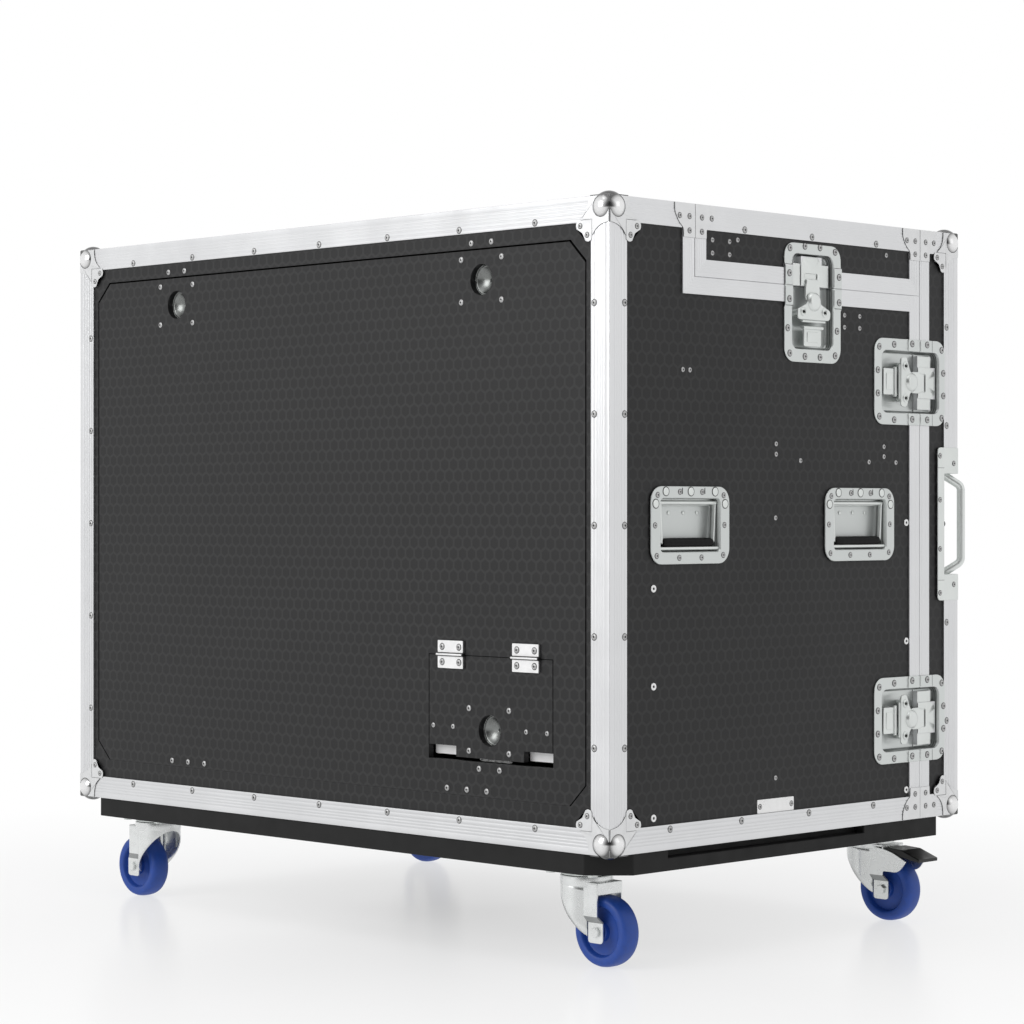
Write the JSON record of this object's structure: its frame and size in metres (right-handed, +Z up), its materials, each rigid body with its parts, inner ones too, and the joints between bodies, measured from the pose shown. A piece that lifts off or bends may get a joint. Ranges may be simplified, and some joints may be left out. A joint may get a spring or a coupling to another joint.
{
  "type": "rack workstation case",
  "caption": "Touring plywood rack case on castors with a lift-off lid, a pull-off cover, a lift-out door with a cable hatch, recessed latches and recessed handles.",
  "frame": {"origin": "on the floor under the middle of the case", "axes": "+Z up, the door with the cable hatch faces -Y, the pull-off cover faces +Y, and the long sides with the latches face -X and +X, the hatch lying towards +X"},
  "size_m": [1.2208, 0.8114, 1.0755],
  "materials": {
    "black_ply": "black plastic-faced plywood with a fine hexagon pattern",
    "black_paint": "black painted plywood, dull",
    "aluminium": "bright extruded, satin",
    "zinc": "bright zinc plated",
    "blue_rubber": "satin blue",
    "black_steel": "black, satin"
  },
  "bodies": {
    "case": {"base_board": "black_paint", "castor_plate_rear_left": "zinc", "castor_plate_front_left": "zinc", "castor_plate_rear_right": "zinc", "castor_plate_front_right": "zinc", "body_edge_frame": "aluminium", "side_panel_left": "black_ply", "side_panel_right": "black_ply", "bottom_panel": "black_ply", "fixed_top_panel": "black_ply", "door_frame": "black_ply", "rack_frame_left": "black_steel", "rack_frame_right": "black_steel", "lid_latch_dish_left": "zinc", "upper_cover_latch_dish_left": "zinc", "lower_cover_latch_dish_left": "zinc", "rear_handle_left_dish": "zinc", "front_handle_left_dish": "zinc", "lid_latch_dish_right": "zinc", "upper_cover_latch_dish_right": "zinc", "lower_cover_latch_dish_right": "zinc", "rear_handle_right_dish": "zinc", "front_handle_right_dish": "zinc"},
    "rear_left_castor": {"castor_fork_rear_left": "zinc"},
    "rear_left_wheel": {"castor_wheel_rear_left": "blue_rubber"},
    "front_left_castor": {"castor_fork_front_left": "zinc"},
    "front_left_wheel": {"castor_wheel_front_left": "blue_rubber"},
    "left_brake": {"brake_pedal_left": "black_steel"},
    "rear_right_castor": {"castor_fork_rear_right": "zinc"},
    "rear_right_wheel": {"castor_wheel_rear_right": "blue_rubber"},
    "front_right_castor": {"castor_fork_front_right": "zinc"},
    "front_right_wheel": {"castor_wheel_front_right": "blue_rubber"},
    "right_brake": {"brake_pedal_right": "black_steel"},
    "lid": {"lid_edge_frame": "aluminium", "lid_panel": "black_ply"},
    "cover": {"cover_edge_frame": "aluminium", "cover_panel": "black_ply", "corner_handle_left": "zinc", "corner_handle_right": "zinc"},
    "left_lid_latch_wing": {"lid_latch_wing_left": "zinc"},
    "left_lid_latch_claw": {"lid_latch_claw_left": "zinc"},
    "left_upper_cover_latch_wing": {"upper_cover_latch_wing_left": "zinc"},
    "left_upper_cover_latch_claw": {"upper_cover_latch_claw_left": "zinc"},
    "left_lower_cover_latch_wing": {"lower_cover_latch_wing_left": "zinc"},
    "left_lower_cover_latch_claw": {"lower_cover_latch_claw_left": "zinc"},
    "rear_handle_left": {"rear_handle_left_bail": "black_steel"},
    "front_handle_left": {"front_handle_left_bail": "black_steel"},
    "right_lid_latch_wing": {"lid_latch_wing_right": "zinc"},
    "right_lid_latch_claw": {"lid_latch_claw_right": "zinc"},
    "right_upper_cover_latch_wing": {"upper_cover_latch_wing_right": "zinc"},
    "right_upper_cover_latch_claw": {"upper_cover_latch_claw_right": "zinc"},
    "right_lower_cover_latch_wing": {"lower_cover_latch_wing_right": "zinc"},
    "right_lower_cover_latch_claw": {"lower_cover_latch_claw_right": "zinc"},
    "rear_handle_right": {"rear_handle_right_bail": "black_steel"},
    "front_handle_right": {"front_handle_right_bail": "black_steel"},
    "door": {"door_panel": "black_ply"},
    "left_door_bolt": {"door_bolt_left": "zinc"},
    "right_door_bolt": {"door_bolt_right": "zinc"},
    "hatch": {"hatch_flap": "black_ply"},
    "hatch_latch": {"hatch_bolt": "zinc"}
  },
  "joints": [
    {"name": "rear_left_swivel", "type": "hinge", "parent": "case", "child": "rear_left_castor", "pos_m": [-0.487, -0.323, 0.1264], "axis": [0, 0, 1], "continuous": true},
    {"name": "rear_left_roll", "type": "hinge", "parent": "rear_left_castor", "child": "rear_left_wheel", "pos_m": [-0.526, -0.323, 0.05], "axis": [0, 1, 0], "continuous": true},
    {"name": "front_left_swivel", "type": "hinge", "parent": "case", "child": "front_left_castor", "pos_m": [-0.487, 0.323, 0.1264], "axis": [0, 0, 1], "continuous": true},
    {"name": "front_left_roll", "type": "hinge", "parent": "front_left_castor", "child": "front_left_wheel", "pos_m": [-0.526, 0.323, 0.05], "axis": [0, 1, 0], "continuous": true},
    {"name": "left_brake_press", "type": "hinge", "parent": "front_left_castor", "child": "left_brake", "pos_m": [-0.503, 0.323, 0.11], "axis": [0, -1, 0], "range_deg": [0, 6]},
    {"name": "rear_right_swivel", "type": "hinge", "parent": "case", "child": "rear_right_castor", "pos_m": [0.487, -0.323, 0.1264], "axis": [0, 0, 1], "continuous": true},
    {"name": "rear_right_roll", "type": "hinge", "parent": "rear_right_castor", "child": "rear_right_wheel", "pos_m": [0.526, -0.323, 0.05], "axis": [0, 1, 0], "continuous": true},
    {"name": "front_right_swivel", "type": "hinge", "parent": "case", "child": "front_right_castor", "pos_m": [0.487, 0.323, 0.1264], "axis": [0, 0, 1], "continuous": true},
    {"name": "front_right_roll", "type": "hinge", "parent": "front_right_castor", "child": "front_right_wheel", "pos_m": [0.526, 0.323, 0.05], "axis": [0, 1, 0], "continuous": true},
    {"name": "right_brake_press", "type": "hinge", "parent": "front_right_castor", "child": "right_brake", "pos_m": [0.503, 0.323, 0.11], "axis": [0, 1, 0], "range_deg": [0, 6]},
    {"name": "lid_lift", "type": "slide", "parent": "case", "child": "lid", "axis": [0, 0, 1], "range_m": [0, 0.35]},
    {"name": "cover_pull", "type": "slide", "parent": "case", "child": "cover", "axis": [0, 1, 0], "range_m": [0, 0.35]},
    {"name": "left_lid_latch_fold", "type": "hinge", "parent": "case", "child": "left_lid_latch_wing", "pos_m": [-0.599, 0.041, 0.906], "axis": [0, 1, 0], "range_deg": [0, 95]},
    {"name": "left_lid_latch_draw", "type": "slide", "parent": "case", "child": "left_lid_latch_claw", "axis": [0, 0, 1], "range_m": [0, 0.012]},
    {"name": "left_upper_cover_latch_fold", "type": "hinge", "parent": "case", "child": "left_upper_cover_latch_wing", "pos_m": [-0.599, 0.2385, 0.8336], "axis": [0, 0, -1], "range_deg": [0, 95]},
    {"name": "left_upper_cover_latch_draw", "type": "slide", "parent": "case", "child": "left_upper_cover_latch_claw", "axis": [0, 1, 0], "range_m": [0, 0.012]},
    {"name": "left_lower_cover_latch_fold", "type": "hinge", "parent": "case", "child": "left_lower_cover_latch_wing", "pos_m": [-0.599, 0.2385, 0.319], "axis": [0, 0, -1], "range_deg": [0, 95]},
    {"name": "left_lower_cover_latch_draw", "type": "slide", "parent": "case", "child": "left_lower_cover_latch_claw", "axis": [0, 1, 0], "range_m": [0, 0.012]},
    {"name": "rear_handle_left_pull", "type": "hinge", "parent": "case", "child": "rear_handle_left", "pos_m": [-0.593, -0.2315, 0.6487], "axis": [0, 1, 0], "range_deg": [0, 90], "stiffness_Nm_per_rad": 0.15, "springref_deg": -20.05},
    {"name": "front_handle_left_pull", "type": "hinge", "parent": "case", "child": "front_handle_left", "pos_m": [-0.593, 0.1515, 0.6487], "axis": [0, 1, 0], "range_deg": [0, 90], "stiffness_Nm_per_rad": 0.15, "springref_deg": -20.05},
    {"name": "right_lid_latch_fold", "type": "hinge", "parent": "case", "child": "right_lid_latch_wing", "pos_m": [0.599, 0.041, 0.906], "axis": [0, -1, 0], "range_deg": [0, 95]},
    {"name": "right_lid_latch_draw", "type": "slide", "parent": "case", "child": "right_lid_latch_claw", "axis": [0, 0, 1], "range_m": [0, 0.012]},
    {"name": "right_upper_cover_latch_fold", "type": "hinge", "parent": "case", "child": "right_upper_cover_latch_wing", "pos_m": [0.599, 0.2385, 0.8336], "axis": [0, 0, 1], "range_deg": [0, 95]},
    {"name": "right_upper_cover_latch_draw", "type": "slide", "parent": "case", "child": "right_upper_cover_latch_claw", "axis": [0, 1, 0], "range_m": [0, 0.012]},
    {"name": "right_lower_cover_latch_fold", "type": "hinge", "parent": "case", "child": "right_lower_cover_latch_wing", "pos_m": [0.599, 0.2385, 0.319], "axis": [0, 0, 1], "range_deg": [0, 95]},
    {"name": "right_lower_cover_latch_draw", "type": "slide", "parent": "case", "child": "right_lower_cover_latch_claw", "axis": [0, 1, 0], "range_m": [0, 0.012]},
    {"name": "rear_handle_right_pull", "type": "hinge", "parent": "case", "child": "rear_handle_right", "pos_m": [0.593, -0.2315, 0.6487], "axis": [0, -1, 0], "range_deg": [0, 90], "stiffness_Nm_per_rad": 0.15, "springref_deg": -20.05},
    {"name": "front_handle_right_pull", "type": "hinge", "parent": "case", "child": "front_handle_right", "pos_m": [0.593, 0.1515, 0.6487], "axis": [0, -1, 0], "range_deg": [0, 90], "stiffness_Nm_per_rad": 0.15, "springref_deg": -20.05},
    {"name": "door_tilt", "type": "hinge", "parent": "case", "child": "door", "pos_m": [0, -0.3947, 0.2295], "axis": [1, 0, 0], "range_deg": [0, 75]},
    {"name": "left_door_bolt_slide", "type": "slide", "parent": "door", "child": "left_door_bolt", "axis": [0, 0, -1], "range_m": [0, 0.01], "stiffness_N_per_m": 800, "springref_m": -0.012},
    {"name": "right_door_bolt_slide", "type": "slide", "parent": "door", "child": "right_door_bolt", "axis": [0, 0, -1], "range_m": [0, 0.01], "stiffness_N_per_m": 800, "springref_m": -0.012},
    {"name": "hatch_swing", "type": "hinge", "parent": "door", "child": "hatch", "pos_m": [0.365, -0.3977, 0.4304], "axis": [-1, 0, 0], "range_deg": [0, 165]},
    {"name": "hatch_bolt_slide", "type": "slide", "parent": "hatch", "child": "hatch_latch", "axis": [0, 0, 1], "range_m": [0, 0.01], "stiffness_N_per_m": 800, "springref_m": -0.012}
  ],
  "couplings": [
    {"joint": "left_lid_latch_fold", "follows": "left_lid_latch_draw", "rad_per_m": 138.1},
    {"joint": "left_upper_cover_latch_fold", "follows": "left_upper_cover_latch_draw", "rad_per_m": 138.1},
    {"joint": "left_lower_cover_latch_fold", "follows": "left_lower_cover_latch_draw", "rad_per_m": 138.1},
    {"joint": "right_lid_latch_fold", "follows": "right_lid_latch_draw", "rad_per_m": 138.1},
    {"joint": "right_upper_cover_latch_fold", "follows": "right_upper_cover_latch_draw", "rad_per_m": 138.1},
    {"joint": "right_lower_cover_latch_fold", "follows": "right_lower_cover_latch_draw", "rad_per_m": 138.1}
  ]
}
